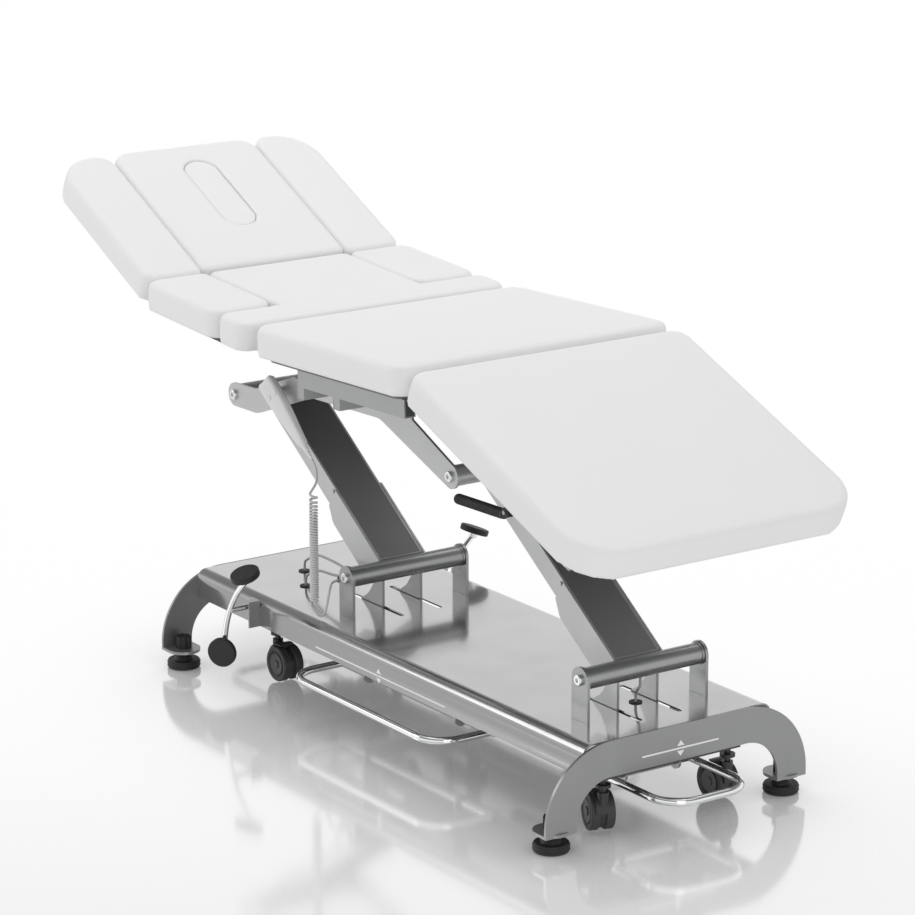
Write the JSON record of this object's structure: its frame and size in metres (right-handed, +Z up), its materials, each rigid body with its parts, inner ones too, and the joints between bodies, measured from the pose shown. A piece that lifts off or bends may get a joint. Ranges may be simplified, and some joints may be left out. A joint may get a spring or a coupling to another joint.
{
  "type": "treatment table",
  "caption": "Padded physiotherapy treatment table whose split top is raised on two parallel arms from a long steel base with retracting castors and all-round foot bars.",
  "frame": {"origin": "on the floor under the middle of the whole table", "axes": "+X along the table towards the foot end, +Y to the far side of the picture, +Z up"},
  "size_m": [1.9523, 0.656, 1.0273],
  "materials": {
    "silver_paint": "satin",
    "dark_steel": "satin",
    "chrome": "polished",
    "zinc": "satin",
    "vinyl": "matte",
    "board": "matte",
    "black_rubber": "matte",
    "tyre": "matte",
    "black_plastic": "matte",
    "light_plastic": "matte",
    "button": "satin",
    "cord": "matte"
  },
  "bodies": {
    "base": {"base_channel": "silver_paint", "end_arch_head": "silver_paint", "end_arch_foot": "silver_paint", "pivot_brackets": "silver_paint", "cable_grommets": "black_rubber", "base_fittings": "silver_paint", "lower_pivot_pins": "zinc", "lift_actuator": "black_plastic", "pivot_wires": "cord", "control_cord": "cord"},
    "arm_head": {"lever_tube_head": "silver_paint", "arm_box_head": "silver_paint"},
    "arm_foot": {"lever_tube_foot": "silver_paint", "arm_box_foot": "silver_paint"},
    "drive": {"drive_bar": "dark_steel"},
    "upper_frame": {"upper_pivot_pins": "zinc", "frame_plates": "silver_paint", "frame_rails": "silver_paint", "seat_hinge_leaves": "dark_steel", "seat_cushion": "vinyl", "seat_board": "board", "hand_control": "light_plastic"},
    "leg": {"leg_cushion": "vinyl", "leg_board": "board", "leg_frame": "silver_paint"},
    "release_lever": {"release_lever": "black_rubber"},
    "back": {"back_cushion": "vinyl", "back_frame": "dark_steel", "armrest_pins": "dark_steel"},
    "armrest_near": {"armrest_pad_near": "vinyl", "armrest_bars_near": "dark_steel"},
    "armrest_far": {"armrest_pad_far": "vinyl", "armrest_bars_far": "dark_steel"},
    "head": {"head_cushion": "vinyl", "head_frame": "dark_steel"},
    "head_pad_near": {"head_side_pad_near": "vinyl"},
    "head_pad_far": {"head_side_pad_far": "vinyl"},
    "face_plug": {"face_plug": "vinyl"},
    "castor_carriage": {"castor_bars": "dark_steel"},
    "pedals": {"castor_pedals": "chrome", "pedal_pads": "black_rubber"},
    "button_up": {"control_button_up": "button"},
    "button_down": {"control_button_down": "button"},
    "castor_foot_near": {"castor_hood_foot_near": "black_plastic"},
    "wheels_foot_near": {"castor_wheels_foot_near": "tyre"},
    "castor_foot_far": {"castor_hood_foot_far": "black_plastic"},
    "wheels_foot_far": {"castor_wheels_foot_far": "tyre"},
    "castor_head_near": {"castor_hood_head_near": "black_plastic"},
    "wheels_head_near": {"castor_wheels_head_near": "tyre"},
    "castor_head_far": {"castor_hood_head_far": "black_plastic"},
    "wheels_head_far": {"castor_wheels_head_far": "tyre"},
    "foot_head_near": {"levelling_foot_head_near": "black_rubber"},
    "foot_head_far": {"levelling_foot_head_far": "black_rubber"},
    "foot_foot_near": {"levelling_foot_foot_near": "black_rubber"},
    "foot_foot_far": {"levelling_foot_foot_far": "black_rubber"},
    "bar_near": {"foot_bar_near": "chrome"},
    "bar_far": {"foot_bar_far": "chrome"},
    "bar_head": {"foot_bar_head": "chrome"},
    "bar_foot": {"foot_bar_foot": "chrome"}
  },
  "joints": [
    {"name": "lift_head", "type": "hinge", "parent": "base", "child": "arm_head", "pos_m": [-0.0834, 0, 0.2815], "axis": [0, 1, 0], "range_deg": [-31, 12], "deforming": ["control_cord"]},
    {"name": "lift_foot", "type": "hinge", "parent": "base", "child": "arm_foot", "pos_m": [0.711, 0, 0.2815], "axis": [0, 1, 0], "range_deg": [-31.5, 12.5]},
    {"name": "frame_level", "type": "hinge", "parent": "arm_head", "child": "upper_frame", "pos_m": [-0.5091, 0, 0.5796], "axis": [0, 1, 0], "range_deg": [-12.5, 31.5]},
    {"name": "drive_slide", "type": "slide", "parent": "base", "child": "drive", "axis": [1, 0, 0], "range_m": [-0.026, 0.062]},
    {"name": "back_tilt", "type": "hinge", "parent": "upper_frame", "child": "back", "pos_m": [-0.1613, 0, 0.79], "axis": [0, 1, 0], "range_deg": [-6, 50]},
    {"name": "head_tilt", "type": "hinge", "parent": "back", "child": "head", "pos_m": [-0.5724, 0, 0.768], "axis": [0, 1, 0], "range_deg": [-65, 0]},
    {"name": "leg_tilt", "type": "hinge", "parent": "upper_frame", "child": "leg", "pos_m": [0.3936, 0, 0.769], "axis": [0, 1, 0], "range_deg": [-15, 20]},
    {"name": "release_press", "type": "hinge", "parent": "leg", "child": "release_lever", "pos_m": [0.69522, -0.3, 0.6301], "axis": [0, 1, 0], "range_deg": [-8, 0], "stiffness_Nm_per_rad": 4, "springref_deg": 8.59},
    {"name": "armrest_fold_near", "type": "hinge", "parent": "back", "child": "armrest_near", "pos_m": [-0.46323, -0.1765, 0.76449], "axis": [0.9985, 0, -0.0541], "range_deg": [0, 80]},
    {"name": "armrest_fold_far", "type": "hinge", "parent": "back", "child": "armrest_far", "pos_m": [-0.46323, 0.1765, 0.76449], "axis": [0.9985, 0, -0.0541], "range_deg": [-80, 0]},
    {"name": "head_pad_fold_near", "type": "hinge", "parent": "head", "child": "head_pad_near", "pos_m": [-0.80293, -0.1796, 0.88041], "axis": [0.8988, 0, -0.4384], "range_deg": [0, 20]},
    {"name": "head_pad_fold_far", "type": "hinge", "parent": "head", "child": "head_pad_far", "pos_m": [-0.80293, 0.1796, 0.88041], "axis": [0.8988, 0, -0.4384], "range_deg": [-20, 0]},
    {"name": "face_plug_lift", "type": "slide", "parent": "head", "child": "face_plug", "axis": [0.4384, 0, 0.8988], "range_m": [0, 0.07]},
    {"name": "pedal_press", "type": "hinge", "parent": "base", "child": "pedals", "pos_m": [-0.3034, 0, 0.182], "axis": [0, -1, 0], "range_deg": [0, 28]},
    {"name": "castor_drop", "type": "slide", "parent": "base", "child": "castor_carriage", "axis": [0, 0, -1], "range_m": [0, 0.01]},
    {"name": "swivel_foot_near", "type": "hinge", "parent": "castor_carriage", "child": "castor_foot_near", "pos_m": [0.7926, -0.149, 0.06], "axis": [0, 0, 1], "continuous": true},
    {"name": "roll_foot_near", "type": "hinge", "parent": "castor_foot_near", "child": "wheels_foot_near", "pos_m": [0.76723, -0.13977, 0.04], "axis": [-0.342, -0.9397, 0], "continuous": true},
    {"name": "swivel_foot_far", "type": "hinge", "parent": "castor_carriage", "child": "castor_foot_far", "pos_m": [0.7926, 0.149, 0.06], "axis": [0, 0, 1], "continuous": true},
    {"name": "roll_foot_far", "type": "hinge", "parent": "castor_foot_far", "child": "wheels_foot_far", "pos_m": [0.7656, 0.149, 0.04], "axis": [0, -1, 0], "continuous": true},
    {"name": "swivel_head_near", "type": "hinge", "parent": "castor_carriage", "child": "castor_head_near", "pos_m": [-0.3394, -0.149, 0.06], "axis": [0, 0, 1], "continuous": true},
    {"name": "roll_head_near", "type": "hinge", "parent": "castor_head_near", "child": "wheels_head_near", "pos_m": [-0.3124, -0.149, 0.04], "axis": [0, 1, 0], "continuous": true},
    {"name": "swivel_head_far", "type": "hinge", "parent": "castor_carriage", "child": "castor_head_far", "pos_m": [-0.3394, 0.149, 0.06], "axis": [0, 0, 1], "continuous": true},
    {"name": "roll_head_far", "type": "hinge", "parent": "castor_head_far", "child": "wheels_head_far", "pos_m": [-0.31403, 0.15823, 0.04], "axis": [-0.342, 0.9397, 0], "continuous": true},
    {"name": "level_head_near", "type": "hinge", "parent": "base", "child": "foot_head_near", "pos_m": [-0.5154, -0.2755, 0.02], "axis": [0, 0, 1], "continuous": true},
    {"name": "level_head_far", "type": "hinge", "parent": "base", "child": "foot_head_far", "pos_m": [-0.5154, 0.2755, 0.02], "axis": [0, 0, 1], "continuous": true},
    {"name": "level_foot_near", "type": "hinge", "parent": "base", "child": "foot_foot_near", "pos_m": [0.8026, -0.2755, 0.02], "axis": [0, 0, 1], "continuous": true},
    {"name": "level_foot_far", "type": "hinge", "parent": "base", "child": "foot_foot_far", "pos_m": [0.8026, 0.2755, 0.02], "axis": [0, 0, 1], "continuous": true},
    {"name": "bar_near_tip", "type": "hinge", "parent": "base", "child": "bar_near", "pos_m": [0.1436, -0.13, 0.088], "axis": [1, 0, 0], "range_deg": [-4, 4], "stiffness_Nm_per_rad": 60},
    {"name": "bar_far_tip", "type": "hinge", "parent": "base", "child": "bar_far", "pos_m": [0.1436, 0.13, 0.088], "axis": [1, 0, 0], "range_deg": [-4, 4], "stiffness_Nm_per_rad": 60},
    {"name": "bar_head_tip", "type": "hinge", "parent": "base", "child": "bar_head", "pos_m": [-0.4524, 0, 0.088], "axis": [0, 1, 0], "range_deg": [-4, 4], "stiffness_Nm_per_rad": 60},
    {"name": "bar_foot_tip", "type": "hinge", "parent": "base", "child": "bar_foot", "pos_m": [0.7396, 0, 0.088], "axis": [0, 1, 0], "range_deg": [-4, 4], "stiffness_Nm_per_rad": 60},
    {"name": "press_up", "type": "slide", "parent": "upper_frame", "child": "button_up", "axis": [-0.2807, 0.9297, -0.2385], "range_m": [0, 0.0015], "stiffness_N_per_m": 400},
    {"name": "press_down", "type": "slide", "parent": "upper_frame", "child": "button_down", "axis": [-0.2807, 0.9297, -0.2385], "range_m": [0, 0.0015], "stiffness_N_per_m": 400}
  ],
  "couplings": [
    {"joint": "lift_foot", "follows": "lift_head", "ratio": 1},
    {"joint": "frame_level", "follows": "lift_head", "ratio": -1},
    {"joint": "drive_slide", "follows": "lift_head", "m_per_rad": -0.111},
    {"joint": "castor_drop", "follows": "pedal_press", "m_per_rad": 0.0194}
  ]
}
